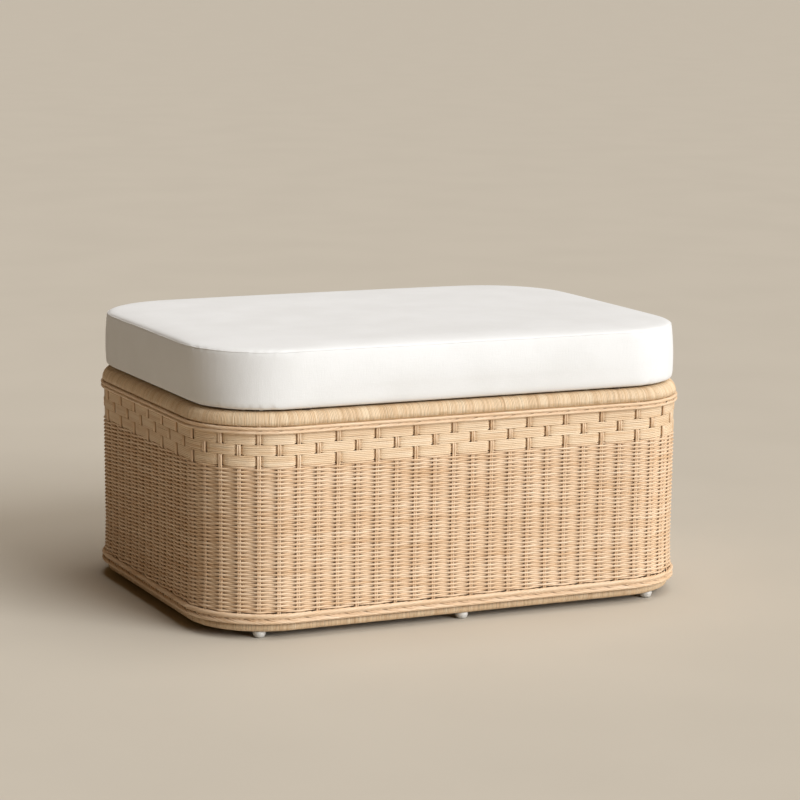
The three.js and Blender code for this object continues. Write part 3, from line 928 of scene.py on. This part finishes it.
def add_camera():
    """The camera, from its place, yaw from +Y towards +X, downward pitch, roll and lens."""
    forward = Vector((
        math.cos(CAMERA_PITCH) * math.sin(CAMERA_YAW),
        math.cos(CAMERA_PITCH) * math.cos(CAMERA_YAW),
        -math.sin(CAMERA_PITCH),
    ))
    level = Vector((math.cos(CAMERA_YAW), -math.sin(CAMERA_YAW), 0))
    down = forward.cross(level)
    right = level * math.cos(CAMERA_ROLL) - down * math.sin(CAMERA_ROLL)
    below = down * math.cos(CAMERA_ROLL) + level * math.sin(CAMERA_ROLL)
    data = bpy.data.cameras.new("camera")
    data.sensor_width = CAMERA_SENSOR
    data.lens = CAMERA_LENS
    data.clip_end = CAMERA_REACH
    camera = bpy.data.objects.new("camera", data)
    turned_axes = Matrix((right, -below, -forward)).transposed().to_4x4()
    camera.matrix_world = Matrix.Translation(CAMERA_AT) @ turned_axes
    bpy.context.scene.collection.objects.link(camera)
    bpy.context.scene.camera = camera


def add_sun(name, direction, strength, softness, colour):
    """A distant lamp. direction points from the ottoman towards it, and softness is its angle across."""
    light = bpy.data.lights.new(name, "SUN")
    light.energy = strength
    light.angle = softness
    light.color = colour
    lamp = bpy.data.objects.new(name, light)
    lamp.rotation_mode = "QUATERNION"
    lamp.rotation_quaternion = Vector(direction).to_track_quat("Z", "Y")
    bpy.context.scene.collection.objects.link(lamp)


def add_studio():
    """A soft cool key from the front right, a broad light from above and a warm, dim surround."""
    add_sun("key", KEY_FROM, KEY_STRENGTH, KEY_SOFTNESS, KEY_COLOUR)
    add_sun("sky", SKY_FROM, SKY_STRENGTH, SKY_SOFTNESS, SKY_COLOUR)
    world = bpy.data.worlds.new("studio")
    world.use_nodes = True
    background = world.node_tree.nodes["Background"]
    background.inputs["Color"].default_value = (*SURROUND_COLOUR, 1)
    background.inputs["Strength"].default_value = SURROUND_STRENGTH
    bpy.context.scene.world = world
    bpy.context.scene.view_settings.view_transform = "Standard"


def add_floor():
    """A wide painted floor."""
    corners = np.array([(-1, -1, 0), (1, -1, 0), (1, 1, 0), (-1, 1, 0)]) * FLOOR_HALF
    floor = make_object("floor", corners, np.array([[0, 1, 2, 3]]))
    floor.data.materials.append(moulded("floor_paint", FLOOR_COLOUR, 0.85, scale=3.0, wear=0.98))


def add_backdrop():
    """A pale wall round the floor, which the camera sees but which neither lights nor shades the ottoman."""
    turn = circle(BACKDROP_SIDES)
    x, y = BACKDROP_RADIUS * np.cos(turn), BACKDROP_RADIUS * np.sin(turn)
    levels = [np.stack([x, y, np.full(BACKDROP_SIDES, z)], axis=-1) for z in (0, BACKDROP_HEIGHT)]
    wall = make_object("backdrop", np.stack(levels), grid_faces(2, BACKDROP_SIDES, False, True))
    for ray in ("diffuse", "glossy", "transmission", "volume_scatter", "shadow"):
        setattr(wall, "visible_" + ray, False)
    material, _, shader = node_material("backdrop_paint")
    shader.inputs["Base Color"].default_value = (0, 0, 0, 1)
    shader.inputs["Emission Color"].default_value = (*BACKDROP_COLOUR, 1)
    shader.inputs["Emission Strength"].default_value = 1.0
    wall.data.materials.append(material)


def dress_cad_nodes(materials):
    """Gives every CAD node the material of its record slot."""
    for row in frame["record"]["subparts"]:
        mesh = frame["nodes"][row["node"]].data
        mesh.materials.clear()
        mesh.materials.append(materials[row["material_slot"]])


add_camera()
materials = make_materials()
dress_cad_nodes(materials)
build_wall(materials["rattan_core"])
build_bands(materials["rattan_band"])
build_braids(materials["rattan_core"])
build_stakes(materials["rattan_core"])
build_wrap("top_rail_wrap", materials["rattan_peel"])
build_wrap("bottom_rail_wrap", materials["rattan_peel"])
build_posts(materials["frame_wood"])
build_feet(materials["glide_plastic"])
build_bumpers(materials["bumper_felt"])
build_cushion(materials["cover_fabric"])
add_floor()
add_backdrop()
add_studio()
